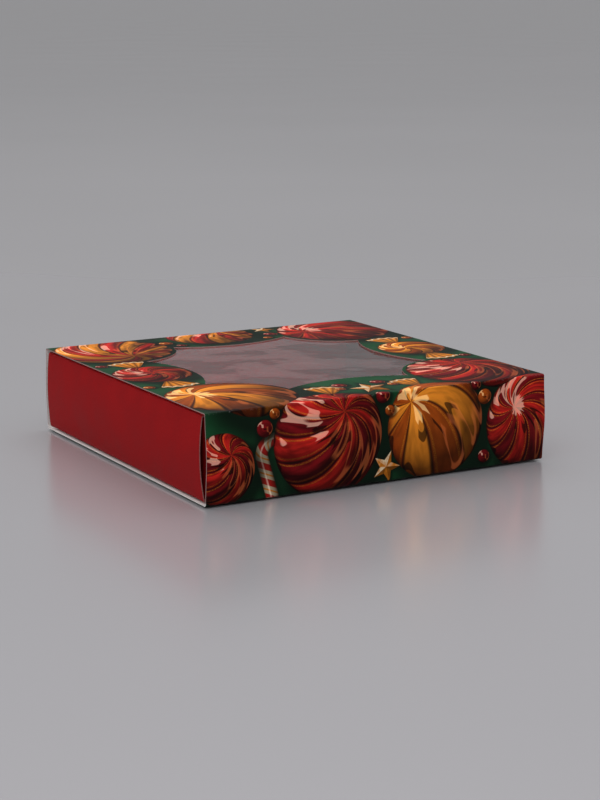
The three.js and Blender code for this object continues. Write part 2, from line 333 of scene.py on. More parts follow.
printArt = {
    "light": Vector((-0.42, 0.62, 0.66)).normalized(),  # painted light, from the upper left of the sheet
    "ground": (0.011, 0.082, 0.028),
    "groundShade": (0.0025, 0.0075, 0.0040),
    "groundCloud": 0.06,  # scale of the dark clouds in the ground
    "groundDepth": (0.35, 0.65, 0.0, 0.35),
    "red": (0.60, 0.017, 0.012),
    "deepRed": (0.220, 0.005, 0.008),
    "gold": (0.92, 0.290, 0.022),
    "amber": (0.40, 0.072, 0.005),
    "burnt": (0.52, 0.070, 0.005),
    "cream": (0.78, 0.62, 0.40),
    "redGlare": (0.64, 0.38, 0.28),
    "goldGlare": (0.68, 0.52, 0.22),
    "shadowShift": (0.16, -0.22, 0),  # a round thing's shadow falls down and to the right, in radii
    "shadowEdge": 0.05,  # it is at its darkest this far inside, in radii
    # reach and depth of each kind's shadow: in millimetres, for round things in radii
    "shadows": {
        "cane": (3.5, 0.75), "fan": (2.5, 0.7), "star": (2.5, 0.8),
        "sweet": (0.47, 0.92), "bead": (0.8, 0.85),
    },
    # centre on the sheet, radius, lean of the swirl's pole, arms, twist, finish (0 red, 1 gold, 2 both)
    "sweets": [
        (-51, -51, 24.5, (-0.5, 0.5), 10, 2.5, 1),
        (52, -51, 24, (0.3, 0.7), 14, 5.0, 0),
        (-52, 52, 24.5, (0.2, -0.6), 14, 4.0, 2),
        (52, 52, 24.5, (-0.6, 0.2), 12, 3.0, 0),
        (-58, 1, 15.5, (0.1, 0.2), 10, 5.0, 0),
        (59, 0, 14, (-0.2, 0.1), 10, 5.0, 1),
        (-1, 66, 19, (0.5, 0.5), 12, -3.0, 2),
        (-66, -93, 13, (0.3, 0.4), 10, 4.0, 0),
        (-23, -86, 22.5, (0.35, 0.45), 12, 4.0, 0),
        (23, -86, 21, (-0.7, 0.6), 8, 2.0, 1),
        (66, -89, 20, (-0.4, 0.3), 12, 5.0, 0),
        (-33, 90, 17, (0.4, -0.4), 12, 3.0, 1),
        (31, 91, 17, (-0.3, -0.5), 14, 4.0, 0),
        (-68, 92, 14, (0.3, -0.3), 10, 4.0, 0),
        (67, 93, 14, (-0.3, 0.3), 10, 3.0, 2),
    ],
    # centre, radius and finish of the round beads that lie on top
    "beads": [
        (-7, -53, 3.0, 0), (-10, -59, 2.1, 1), (9, -54, 3.0, 0), (12, -60, 2.1, 1), (0, -73, 3.0, 0),
        (3, -79, 2.1, 1), (-49, -80, 3.2, 0), (-45, -75, 2.1, 1), (45, -78, 3.0, 1), (41, -73, 2.2, 0),
        (-70, -22, 2.3, 1), (-69, 24, 2.6, 0), (69, -24, 2.4, 0), (70, 21, 2.3, 1), (-25, 58, 3.0, 1),
        (-21, 51, 2.2, 0), (24, 57, 3.1, 0), (19, 50, 2.1, 1), (-50, 80, 3.0, 1), (49, 80, 2.9, 0),
        (-9, 89, 2.8, 0), (9, 90, 2.6, 1), (-9, 102, 2.3, 1), (9, 102, 2.2, 0), (45, -101, 2.6, 0),
    ],
    # foot, direction in degrees, straight length, hook radius, width
    "canes": [(-44, -112, 106, 22, -5.2, 5.0)],
    # centre, radius, turn in degrees
    "stars": [(1, -62, 8, 90), (1.5, -100, 6, 70), (0, 95, 6.5, -90), (26, 68, 5.5, 60)],
    # knot of a wrapper's fan, direction in degrees, length
    "fans": [
        (-58, 15.5, 90, 13), (-58, -13.5, -90, 13), (59, 13, 90, 13), (59, -13, -90, 13),
        (-17.2, -64.3, 75, 13), (19.4, -65.3, 100, 12),
    ],
}


def nearestGroup():  # passes on the sweet whose rim is nearest, and how deep the point is in shadow
    inputs = {"flat": "v", "place": "v", "pole": "v", "style": "v", "gap": "f", "shade": "f",
              "nearPlace": "v", "nearPole": "v", "nearStyle": "v"}
    outputs = {"gap": "f", "shade": "f", "nearPlace": "v", "nearPole": "v", "nearStyle": "v"}
    tree, source, target = startGroup("nearestSweet", inputs, outputs)
    radius = dot(tree, source["place"], (0, 0, 1))
    centre = vec(tree, "MULTIPLY", source["place"], (1, 1, 0))
    gap = minus(tree, vec(tree, "DISTANCE", source["flat"], centre), radius)
    closer = calc(tree, "LESS_THAN", gap, source["gap"])
    dropped = vec(tree, "ADD", centre, times(tree, printArt["shadowShift"], radius))
    outside = minus(tree, vec(tree, "DISTANCE", source["flat"], dropped), radius)
    shade = calc(tree, "DIVIDE", outside, radius)
    wire(tree, target["gap"], calc(tree, "MINIMUM", gap, source["gap"]))
    wire(tree, target["shade"], calc(tree, "MINIMUM", shade, source["shade"]))
    for key in ("Place", "Pole", "Style"):
        nearer = mixed(tree, closer, source["near" + key], source[key.lower()])
        wire(tree, target["near" + key], nearer)
    return tree


# in fours: a fade's start, end, low and high; in threes: a band's middle, half width and softness
sweetLook = {
    "longitudeFrom": (0.35, 0.9, -0.25),  # a direction that is no sweet's pole
    "ribTilt": -0.55,  # how far a rib's flanks tilt the painted normal
    # what the sugar mirrors, across and up
    "glare": ((-0.50, 0.17, 0.05), (0.52, 0.26, 0.06)),
    "rimLight": ((0.62, 0.10, 0.10), (-0.15, 0.45, 0.15)),
    "gloom": ((0.15, 0.45, 0.08), (-0.12, 0.14, 0.05)),
    "gloomDepth": 0.8,
    "rimColour": (0.231, 0.055, 0.0165),
    "burntRim": (0.75, 0.15, 0.0, 0.8),  # gold only
    "threadBand": (0.74, 0.05, 0.05),
    "threadWear": (0.40, 0.62, 0.0, 0.6),
    "glitterScale": 3.2,
    "grooveFade": (0.80, 0.97, 0.0, 0.85),
    "grooveColour": (0.012, 0.003, 0.003),
    "streakStretch": (1.6, 0.9, 3.7),  # over the ribs, along them, from one sweet to the next
    "streakScale": 2.2,
    "streakSpan": (0.30, 0.68),
    "streakDim": (0.45, 0.80),  # red, gold
    "streakBright": 1.25,
    "litShare": 0.95,
    "ambient": 0.16,
    "edgeShade": (0.0, 0.5, 0.30, 1.0),
    "outline": (0.10, -0.12),
}


def sweetGroup():  # paints one ribbed, swirled ball of boiled sugar
    inputs = {"flat": "v", "gap": "f", "place": "v", "pole": "v", "style": "v"}
    tree, source, target = startGroup("boiledSweet", inputs, {"colour": "v", "mask": "f"})
    radius = dot(tree, source["place"], (0, 0, 1))
    arms, twist, finish = split(tree, source["style"])
    centre = vec(tree, "MULTIPLY", source["place"], (1, 1, 0))
    local = times(tree, vec(tree, "SUBTRACT", source["flat"], centre), calc(tree, "DIVIDE", 1.0, radius))
    inside = minus(tree, 1.0, dot(tree, local, local))
    height = calc(tree, "SQRT", positive(tree, inside))
    ball = vec(tree, "ADD", local, joined(tree, 0, 0, height))
    # longitude and latitude about the swirl's own pole
    pole = source["pole"]
    east = vec(tree, "NORMALIZE", vec(tree, "CROSS_PRODUCT", pole, sweetLook["longitudeFrom"]))
    north = vec(tree, "CROSS_PRODUCT", pole, east)
    northward = dot(tree, ball, north)
    eastward = dot(tree, ball, east)
    longitude = calc(tree, "ARCTAN2", northward, eastward)
    latitude = calc(tree, "ARCCOSINE", dot(tree, ball, pole))
    swirl = scaled(tree, longitude, calc(tree, "DIVIDE", arms, 2 * math.pi), 0.5)
    swirl = scaled(tree, latitude, calc(tree, "DIVIDE", twist, math.pi), swirl)
    rib = calc(tree, "FRACT", swirl)
    groove = calc(tree, "ABSOLUTE", scaled(tree, rib, 2.0, -1.0))  # 0 on a rib, 1 in a groove
    other = calc(tree, "LESS_THAN", calc(tree, "FRACT", product(tree, swirl, 0.5)), 0.5)
    # ribs tilt the painted normal
    around = vec(tree, "CROSS_PRODUCT", pole, ball)
    flank = calc(tree, "SINE", product(tree, rib, 2 * math.pi))
    tilt = product(tree, flank, sweetLook["ribTilt"])
    normal = vec(tree, "NORMALIZE", vec(tree, "ADD", ball, times(tree, around, tilt)))
    lit = dot(tree, normal, printArt["light"])
    mirror = split(tree, vec(tree, "REFLECT", (0, 0, -1), normal), 2)

    def mirrored(name):  # a soft rectangle of the painted surroundings
        bands = [within(tree, place, *band) for place, band in zip(mirror, sweetLook[name])]
        return product(tree, *bands)

    glare = mirrored("glare")
    rimLight = mirrored("rimLight")
    gloom = mirrored("gloom")
    # bands of colour, with a dark groove and a gold thread beside it
    isGold = within(tree, finish, 1.0, 0.4, 0.1)
    first = mixed(tree, isGold, printArt["red"], printArt["gold"])
    second = mixed(tree, calc(tree, "GREATER_THAN", finish, 1.5), printArt["deepRed"], printArt["gold"])
    second = mixed(tree, isGold, second, printArt["amber"])
    band = mixed(tree, other, first, second)
    burnt = product(tree, isGold, fade(tree, height, *sweetLook["burntRim"]))
    band = mixed(tree, burnt, band, printArt["burnt"])
    along = vec(tree, "MULTIPLY", joined(tree, swirl, latitude, radius), sweetLook["streakStretch"])
    streak = noise(tree, along, sweetLook["streakScale"])
    glitter = noise(tree, source["flat"], sweetLook["glitterScale"], 1.0)
    worn = fade(tree, glitter, *sweetLook["threadWear"])
    thread = product(tree, within(tree, groove, *sweetLook["threadBand"]), worn)
    band = mixed(tree, thread, band, printArt["gold"])
    band = mixed(tree, fade(tree, groove, *sweetLook["grooveFade"]), band, sweetLook["grooveColour"])
    tone = scaled(tree, positive(tree, lit), sweetLook["litShare"], sweetLook["ambient"])
    dimmest = mixed(tree, isGold, *sweetLook["streakDim"], "FLOAT")
    streaked = fade(tree, streak, *sweetLook["streakSpan"], dimmest, sweetLook["streakBright"])
    tone = product(tree, tone, streaked)
    tone = product(tree, tone, fade(tree, height, *sweetLook["edgeShade"]))
    tone = product(tree, tone, scaled(tree, gloom, -sweetLook["gloomDepth"], 1.0))
    colour = times(tree, band, tone)
    glareColour = mixed(tree, isGold, printArt["redGlare"], printArt["goldGlare"])
    colour = vec(tree, "ADD", colour, times(tree, glareColour, glare))
    colour = vec(tree, "ADD", colour, times(tree, sweetLook["rimColour"], rimLight))
    wire(tree, target["colour"], colour)
    wire(tree, target["mask"], fade(tree, source["gap"], *sweetLook["outline"]))
    return tree


caneLook = {
    "stripeLength": 6.4,
    "stripeSlant": -0.3,
    "creamBand": (0.5, 0.27, 0.02),
    "goldBand": (0.5, 0.045, 0.02),
    "topShare": 0.66,
    "litShare": 0.9,
    "ambient": 0.12,
    "shinePlace": 0.75,
    "shineBand": (0.0, 0.08, 0.10),
    "shineColour": (0.42, 0.36, 0.30),
    "outline": (0.10, -0.08),
}


def caneGroup():
    inputs = {"flat": "v", "foot": "v", "turn": "f", "length": "f", "hook": "f", "width": "f"}
    tree, source, target = startGroup("sugarCane", inputs, {"colour": "v", "mask": "f", "gap": "f"})
    back = product(tree, source["turn"], -1.0)
    local = turned(tree, vec(tree, "SUBTRACT", source["flat"], source["foot"]), back)
    along, across = split(tree, local, 2)
    beyond = minus(tree, along, source["length"])
    # past the straight length the middle line runs round the hook
    inHook = calc(tree, "GREATER_THAN", beyond, 0.0)
    side = calc(tree, "SIGN", source["hook"])
    bend = calc(tree, "ABSOLUTE", source["hook"])
    inward = minus(tree, bend, product(tree, across, side))
    away = minus(tree, bend, vec(tree, "LENGTH", joined(tree, beyond, inward, 0)))
    offset = mixed(tree, inHook, across, product(tree, away, side), "FLOAT")
    swept = scaled(tree, calc(tree, "ARCTAN2", beyond, inward), bend, source["length"])
    run = mixed(tree, inHook, along, swept, "FLOAT")
    half = product(tree, source["width"], 0.5)
    ratio = calc(tree, "DIVIDE", offset, half)
    inside = minus(tree, 1.0, product(tree, ratio, ratio))
    bulge = calc(tree, "SQRT", positive(tree, inside))
    stripe = calc(tree, "DIVIDE", run, caneLook["stripeLength"])
    stripe = calc(tree, "FRACT", scaled(tree, ratio, caneLook["stripeSlant"], stripe))
    colour = mixed(tree, within(tree, stripe, *caneLook["creamBand"]), printArt["red"], printArt["cream"])
    colour = mixed(tree, within(tree, stripe, *caneLook["goldBand"]), colour, printArt["gold"])
    slope = dot(tree, turned(tree, printArt["light"], back), (0, 1, 0))
    lit = scaled(tree, slope, ratio, product(tree, bulge, caneLook["topShare"]))
    tone = scaled(tree, positive(tree, lit), caneLook["litShare"], caneLook["ambient"])
    fromShine = minus(tree, ratio, product(tree, slope, caneLook["shinePlace"]))
    shine = within(tree, fromShine, *caneLook["shineBand"])
    colour = vec(tree, "ADD", times(tree, colour, tone), times(tree, caneLook["shineColour"], shine))
    beside = minus(tree, calc(tree, "ABSOLUTE", offset), half)
    gap = calc(tree, "MAXIMUM", beside, product(tree, along, -1.0))
    wire(tree, target["colour"], colour)
    wire(tree, target["mask"], fade(tree, gap, *caneLook["outline"]))
    wire(tree, target["gap"], gap)
    return tree


starLook = {
    "arms": 5,
    "edgeNormal": (0.37, 0.93),  # of an arm's edge, along the arm and across it
    "lightFrom": 2.2,  # radians
    "lightSwing": 0.45,
    "ambient": 0.62,
    "foilScale": 0.5,
    "foilTone": (0.3, 0.7, 0.8, 1.15),
    "creamFade": (0.6, 1.1),
    "outline": (0.015, -0.015),
}


def starGroup():  # each arm has a light and a dark side
    inputs = {"flat": "v", "centre": "v", "radius": "f", "turn": "f"}
    tree, source, target = startGroup("goldStar", inputs, {"colour": "v", "mask": "f", "gap": "f"})
    local = vec(tree, "SUBTRACT", source["flat"], source["centre"])
    x, y = split(tree, local, 2)
    angle = minus(tree, calc(tree, "ARCTAN2", y, x), source["turn"])
    sector = scaled(tree, angle, starLook["arms"] / (2 * math.pi), 0.5)
    sector = minus(tree, calc(tree, "FRACT", sector), 0.5)
    fold = product(tree, sector, 2 * math.pi / starLook["arms"])
    reach = calc(tree, "DIVIDE", vec(tree, "LENGTH", local), source["radius"])
    out = product(tree, reach, calc(tree, "COSINE", fold))
    sideways = product(tree, reach, calc(tree, "ABSOLUTE", calc(tree, "SINE", fold)))
    edgeAlong, edgeAcross = starLook["edgeNormal"]
    gap = product(tree, sideways, edgeAcross)
    gap = scaled(tree, minus(tree, out, 1.0), edgeAlong, gap)
    facing = minus(tree, calc(tree, "ADD", angle, source["turn"]), fold)
    facing = calc(tree, "ADD", facing, calc(tree, "SIGN", fold))
    facing = calc(tree, "COSINE", minus(tree, facing, starLook["lightFrom"]))
    tone = scaled(tree, facing, starLook["lightSwing"], starLook["ambient"])
    foil = fade(tree, noise(tree, source["flat"], starLook["foilScale"]), *starLook["foilTone"])
    tone = product(tree, tone, foil)
    gold = times(tree, printArt["gold"], tone)
    cream = times(tree, printArt["cream"], tone)
    wire(tree, target["colour"], mixed(tree, fade(tree, tone, *starLook["creamFade"]), gold, cream))
    wire(tree, target["mask"], fade(tree, gap, *starLook["outline"]))
    wire(tree, target["gap"], product(tree, gap, source["radius"]))
    return tree


fanLook = {
    "knotHalf": 1.6,
    "knotEnd": -1.0,
    "spread": 0.62,
    "pleats": 4.5,
    "frillDepth": -1.3,
    "arch": 2.4,
    "litShare": 0.75,
    "ambient": 0.22,
    "knotShade": (0.0, 7.0, 0.45, 1.1),
    "hemBand": (-1.0, 0.35, 0.25),
    "outline": (0.12, -0.12),
}


def fanGroup():  # pleated end of a twisted wrapper
    inputs = {"flat": "v", "knot": "v", "turn": "f", "length": "f"}
    tree, source, target = startGroup("wrapperFan", inputs, {"colour": "v", "mask": "f", "gap": "f"})
    back = product(tree, source["turn"], -1.0)
    local = turned(tree, vec(tree, "SUBTRACT", source["flat"], source["knot"]), back)
    along, across = split(tree, local, 2)
    half = scaled(tree, positive(tree, along), fanLook["spread"], fanLook["knotHalf"])
    ratio = calc(tree, "DIVIDE", across, half)
    pleat = calc(tree, "PINGPONG", product(tree, ratio, fanLook["pleats"]), 1.0)
    frill = scaled(tree, pleat, fanLook["frillDepth"], source["length"])
    arch = product(tree, product(tree, ratio, ratio), fanLook["arch"])
    end = minus(tree, along, minus(tree, frill, arch))
    gap = calc(tree, "MAXIMUM", minus(tree, calc(tree, "ABSOLUTE", across), half), end)
    gap = calc(tree, "MAXIMUM", gap, minus(tree, fanLook["knotEnd"], along))
    tone = scaled(tree, pleat, fanLook["litShare"], fanLook["ambient"])
    tone = product(tree, tone, fade(tree, along, *fanLook["knotShade"]))
    hem = within(tree, end, *fanLook["hemBand"])
    colour = mixed(tree, hem, times(tree, printArt["gold"], tone), printArt["cream"])
    wire(tree, target["colour"], colour)
    wire(tree, target["mask"], fade(tree, gap, *fanLook["outline"]))
    wire(tree, target["gap"], gap)
    return tree


sheetFold = {"cornerDepth": 0.4, "undersideLevel": 0.35}  # where the top and the bottom end


def sheetGroup():  # unfolds the sleeve: its place on the flat printed sheet
    tree, source, target = startGroup("unfoldedSheet", {"place": "v"}, {"flat": "v"})
    x, y, z = split(tree, times(tree, source["place"], 1 / millimetre))
    height = sleeveHeight / millimetre
    width = sleeveWidth / millimetre
    drop = positive(tree, minus(tree, height - sheetFold["cornerDepth"], z))
    wrapped = scaled(tree, calc(tree, "SIGN", y), drop, y)
    below = minus(tree, -width - height, y)
    isBelow = calc(tree, "LESS_THAN", z, sheetFold["undersideLevel"])
    row = mixed(tree, isBelow, wrapped, below, "FLOAT")
    wire(tree, target["flat"], joined(tree, x, row, 0))
    return tree


def makePrint(tree, flat):  # the whole sheet, from the ground up
    nearest, sweet = nearestGroup(), sweetGroup()
    cane, star, fan = caneGroup(), starGroup(), fanGroup()
    ground, groundShade = printArt["ground"], printArt["groundShade"]

    def gather(rows):  # runs through a list of sweets and keeps the nearest
        far = 999.0
        state = {"gap": far, "shade": far}
        state.update(nearPlace=(0, 0, 1), nearPole=(0, 0, 1), nearStyle=(0, 0, 0))
        for u, v, radius, lean, arms, twist, finish in rows:
            pole = Vector((*lean, 1.0)).normalized()
            out = useGroup(tree, nearest, flat=flat, place=(u, v, radius), pole=pole,
                           style=(arms, twist, finish), **state)
            state = {key: out[key] for key in state}
        return state

    def shadow(below, kind, gap):
        reach, depth = printArt["shadows"][kind]
        return mixed(tree, fade(tree, gap, reach, 0.0, 0.0, depth), below, groundShade)

    def lay(below, kind, out):  # one motif over its own shadow
        return mixed(tree, out["mask"], shadow(below, kind, out["gap"]), out["colour"])

    def layNearest(below, near):
        out = useGroup(tree, sweet, flat=flat, gap=near["gap"], place=near["nearPlace"],
                       pole=near["nearPole"], style=near["nearStyle"])
        return mixed(tree, out["mask"], below, out["colour"])

    sweets = gather(printArt["sweets"])
    cloud = noise(tree, flat, printArt["groundCloud"])
    sheet = mixed(tree, fade(tree, cloud, *printArt["groundDepth"]), ground, groundShade)
    for u, v, turn, length, hook, width in printArt["canes"]:
        out = useGroup(tree, cane, flat=flat, foot=(u, v, 0), turn=math.radians(turn), length=length,
                       hook=hook, width=width)
        sheet = lay(sheet, "cane", out)
    sheet = shadow(sheet, "sweet", calc(tree, "ADD", sweets["shade"], printArt["shadowEdge"]))
    for u, v, turn, length in printArt["fans"]:
        out = useGroup(tree, fan, flat=flat, knot=(u, v, 0), turn=math.radians(turn), length=length)
        sheet = lay(sheet, "fan", out)
    for u, v, radius, turn in printArt["stars"]:
        out = useGroup(tree, star, flat=flat, centre=(u, v, 0), radius=radius, turn=math.radians(turn))
        sheet = lay(sheet, "star", out)
    sheet = layNearest(sheet, sweets)
    beads = gather([(u, v, radius, (0, 0), 0, 0, finish) for u, v, radius, finish in printArt["beads"]])
    sheet = shadow(sheet, "bead", calc(tree, "ADD", beads["shade"], printArt["shadowEdge"]))
    return layNearest(sheet, beads)


# finishes

boardFinish = {
    # dark and light
    "red": ((0.360, 0.0068, 0.0088), (0.405, 0.0095, 0.0115)),
    # inside: a lighter copy of the red, painted light on the tray's inside faces where little lamp light
    # reaches
    "inside": ((0.76, 0.027, 0.031), (0.82, 0.036, 0.040)),
    # tab: a darker copy of the red, painted shade on the corner folds seen in the gap beside an end wall
    "tab": ((0.120, 0.0020, 0.0026), (0.150, 0.0028, 0.0034)),
    "bare": ((0.82, 0.77, 0.74), (0.92, 0.88, 0.85)),
    "edge": ((0.86, 0.81, 0.79), (0.97, 0.93, 0.91)),
    "redEdge": ((0.30, 0.100, 0.095), (0.46, 0.230, 0.210)),
    "shadedUpperEdge": (0.40, 0.27, 0.25),  # cut edges above the bottom, painted darker as shade
    "shadedEdgeLevel": (0.6, 2.0),  # millimetres above the bottom, where the painted shade starts and where it is full
    "glue": (0.62, 0.56, 0.42),
    "mottleSpan": (0.32, 0.68),
    "fibreSpan": (0.25, 0.75),
    "redFibres": (0.90, 1.08),
    "fleckTone": (0.62, 0.75, 1.0, 0.86),
    "rubbedBand": (1.0, 0.2),  # millimetres from a crease, where the ink starts to wear and where it is worn
    "rubbedFleck": (0.56, 0.80, 0.0, 0.10),
    # roughness, specular level, and the depth and strength of the relief
    "printSkin": {"rough": (0.50, 0.60), "specular": 0.08, "relief": (0.01 * millimetre, 0.5)},
    "redSkin": {"rough": (0.44, 0.54), "specular": 0.05, "relief": (0.02 * millimetre, 0.6)},
    "tabSkin": {"rough": (0.44, 0.54), "specular": 0.03, "relief": (0.02 * millimetre, 0.6)},
    "bareSkin": {"rough": (0.80, 0.92), "specular": 0.3, "relief": (0.02 * millimetre, 0.7)},
    "edgeSkin": {"rough": (0.80, 0.92), "specular": 0.3, "relief": (0.04 * millimetre, 0.7)},
    "glueSkin": {"rough": (0.30, 0.55), "specular": 0.5, "relief": (0.04 * millimetre, 1.0)},
}

boardGrain = {
    "mottleScale": 70.0,
    "fibreScale": (500, 1900, 1900),
    "fibreRoughness": 0.6,
    "fleckScale": 1400.0,
}
noiseSpan = (0.3, 0.7)  # most of a noise lies between these


def grainGroup():  # cloudiness and fibres of carton board, places in metres
    outputs = {"mottle": "f", "fibre": "f", "fleck": "f"}
    tree, source, target = startGroup("boardGrain", {"place": "v"}, outputs)
    wire(tree, target["mottle"], noise(tree, source["place"], boardGrain["mottleScale"], 3.0))
    drawnOut = vec(tree, "MULTIPLY", source["place"], boardGrain["fibreScale"])
    wire(tree, target["fibre"], noise(tree, drawnOut, 1.0, 3.0, boardGrain["fibreRoughness"]))
    wire(tree, target["fleck"], noise(tree, source["place"], boardGrain["fleckScale"]))
    return tree


grain = grainGroup()


def startMaterial(name):
    material = bpy.data.materials.new(name)
    material.use_nodes = True
    tree = material.node_tree
    place = tree.nodes.new("ShaderNodeTexCoord").outputs["Object"]
    return material, tree, tree.nodes["Principled BSDF"], place


def giveSkin(tree, shader, colour, skin, cloud, height):  # its gloss varies with the cloud
    wire(tree, shader.inputs["Base Color"], colour)
    shader.inputs["Specular IOR Level"].default_value = skin["specular"]
    wire(tree, shader.inputs["Roughness"], fade(tree, cloud, *noiseSpan, *skin["rough"]))
    depth, strength = skin["relief"]
    bump = addNode(tree, "Bump", {"Height": height, "Distance": depth, "Strength": strength})
    wire(tree, shader.inputs["Normal"], bump.outputs[0])


def makePrintedBoard():
    material, tree, shader, place = startMaterial("printedBoard")
    sheet = useGroup(tree, sheetGroup(), place=place)
    card = useGroup(tree, grain, place=place)
    colour = makePrint(tree, sheet["flat"])
    # rubbed ink along the four creases
    sideways = dot(tree, place, (0, 1 / millimetre, 0))
    level = dot(tree, place, (0, 0, 1 / millimetre))
    half = sleeveWidth / 2 / millimetre
    middle = sleeveHeight / 2 / millimetre
    start, full = boardFinish["rubbedBand"]
    nearSide = fade(tree, calc(tree, "ABSOLUTE", sideways), half - start, half - full)
    fromMiddle = calc(tree, "ABSOLUTE", minus(tree, level, middle))
    nearLevel = fade(tree, fromMiddle, middle - start, middle - full)
    nearCrease = product(tree, nearSide, nearLevel)
    rubbed = product(tree, nearCrease, fade(tree, card["fleck"], *boardFinish["rubbedFleck"]))
    colour = mixed(tree, rubbed, colour, boardFinish["bare"][0])
    giveSkin(tree, shader, colour, boardFinish["printSkin"], card["mottle"], card["fibre"])
    return material


def makeRedBoard(name, tone, skin):
    material, tree, shader, place = startMaterial(name)
    card = useGroup(tree, grain, place=place)
    mottled = fade(tree, card["mottle"], *boardFinish["mottleSpan"])
    colour = mixed(tree, mottled, *boardFinish[tone])
    fibres = fade(tree, card["fibre"], *boardFinish["fibreSpan"], *boardFinish["redFibres"])
    colour = times(tree, colour, fibres)
    giveSkin(tree, shader, colour, boardFinish[skin], card["mottle"], card["fibre"])
    return material


def makeBareBoard(name, tone, skin, above=None):  # above is its colour higher than the bottom
    material, tree, shader, place = startMaterial(name)
    card = useGroup(tree, grain, place=place)
    fibres = fade(tree, card["fibre"], *boardFinish["fibreSpan"])
    colour = mixed(tree, fibres, *boardFinish[tone])
    # higher than the bottom the colour turns to the given one, painted shade
    if above:
        level = dot(tree, place, (0, 0, 1 / millimetre))
        colour = mixed(tree, fade(tree, level, *boardFinish["shadedEdgeLevel"]), colour, above)
    colour = times(tree, colour, fade(tree, card["fleck"], *boardFinish["fleckTone"]))
    giveSkin(tree, shader, colour, boardFinish[skin], card["mottle"], card["fibre"])
    return material


def makeDriedGlue():
    material, tree, shader, place = startMaterial("driedGlue")
    card = useGroup(tree, grain, place=place)
    colour = mixed(tree, card["mottle"], boardFinish["glue"], boardFinish["bare"][1])
    giveSkin(tree, shader, colour, boardFinish["glueSkin"], card["fleck"], card["mottle"])
    return material


filmFinish = {
    "tint": (0.97, 0.98, 0.98),
    "refraction": 1.48,
    "slowWaves": 26.0,
    "quickWaves": 90.0,
    "quickShare": 0.10,
    "skin": {"rough": (0.015, 0.035), "specular": 0.5, "relief": (2.8 * millimetre, 1.0)},
}


def makeClearFilm():
    material, tree, shader, place = startMaterial("clearFilm")
    wire(tree, shader.inputs["IOR"], filmFinish["refraction"])
    wire(tree, shader.inputs["Transmission Weight"], 1.0)
    slow = noise(tree, place, filmFinish["slowWaves"], 1.0)
    quick = noise(tree, place, filmFinish["quickWaves"])
    waves = scaled(tree, quick, filmFinish["quickShare"], slow)
    giveSkin(tree, shader, filmFinish["tint"], filmFinish["skin"], quick, waves)
    return material


printedBoard = makePrintedBoard()
redBoard = makeRedBoard("redBoard", "red", "redSkin")
# the corner tabs: the red painted darker, as painted shade in the gap
redTabPaintedShade = makeRedBoard("redTabPaintedShade", "tab", "tabSkin")
# the tray's inside faces: the red painted lighter, as painted light
redInsidePaintedLight = makeRedBoard("redInsidePaintedLight", "inside", "redSkin")
bareBoard = makeBareBoard("bareBoard", "bare", "bareSkin")
# cut edges: white at the bottom, painted shade higher up
cutEdge = makeBareBoard("cutEdge", "edge", "edgeSkin", boardFinish["shadedUpperEdge"])
redEdge = makeBareBoard("redEdge", "redEdge", "edgeSkin")
glueMaterial = makeDriedGlue()
filmMaterial = makeClearFilm()
print("finishes ready")


# sleeve

sleeve = {
    "gridAlong": 24,  # cuts from one open end to the other
    "gridAcross": 24,
    "gridUp": 8,
    "wallSwell": 0.4 * millimetre,  # both walls, half way along
    "wallReach": 0.5 * sleeveHeight,
    "endSwell": 1.1 * millimetre,  # walls at their open ends
    "endReach": 0.48 * sleeveHeight,
    "flapTaper": 5 * millimetre,  # each end of the glue flap
    "footRadius": 1.2 * millimetre,  # the fold between the front wall and the bottom
}


def makeSleeve():
    flapWidth = flapHigh.y - flapLow.y
    start = (topLow.x, topHigh.y - flapWidth, flapLow.z)
    piece = startBoard("sleeveBoard", start, (sleeveLength, 0, 0))
    walkBoard(start, (0, 1, 0), (1, 0, 0), [
        {"run": flapWidth - creaseRadius},
        crease(),
        {"run": sleeveHeight - flapLow.z - 2 * creaseRadius},
        crease(),
        {"run": sleeveWidth - 2 * creaseRadius},
        crease(),
        {"run": sleeveHeight - creaseRadius - sleeve["footRadius"]},
        crease(radius=sleeve["footRadius"]),
        {"run": sleeveWidth - sleeve["footRadius"]},
    ])
    pick("verts", lambda co: 0 < co.y < start[1] + nearly and abs(co.z - flapLow.z) < nearly)
    narrowed = 1 - 2 * sleeve["flapTaper"] / sleeveLength
    bpy.ops.transform.resize(value=(narrowed, 1, 1), center_override=(0, start[1], flapLow.z))
    cutAcross(0, topLow.x, topHigh.x, sleeve["gridAlong"])
    cutAcross(1, topLow.y, topHigh.y, sleeve["gridAcross"])
    cutAcross(2, 0, sleeveHeight, sleeve["gridUp"])
    faceOut((0, 0, sleeveHeight * 2))
    for side in (-1, 1):
        wall = side * sleeveWidth / 2
        swell((0, wall, sleeveHeight / 2), (0, side * sleeve["wallSwell"], 0), sleeve["wallReach"])
        for end in (topLow.x, topHigh.x):
            swell((end, wall, sleeveHeight / 2), (0, side * sleeve["endSwell"], 0), sleeve["endReach"])
    thicken(piece, [printedBoard, bareBoard, cutEdge])
    cutter = holeCutter("sleeve_top_panel", lambda co: max(abs(co.x), abs(co.y)) < filmHigh.x, "windowCutter")
    cutHole(piece, cutter, cutEdge)
    finishPiece(piece, "sleeve", [
        "sleeve_top_panel", "sleeve_front_wall", "sleeve_bottom_panel", "sleeve_back_wall",
        "sleeve_glue_flap",
    ])


makeSleeve()
print("sleeve folded, glued and cut")


# window film

film = {"grid": 40, "cornerRadius": 4 * millimetre, "cornerParts": 5}


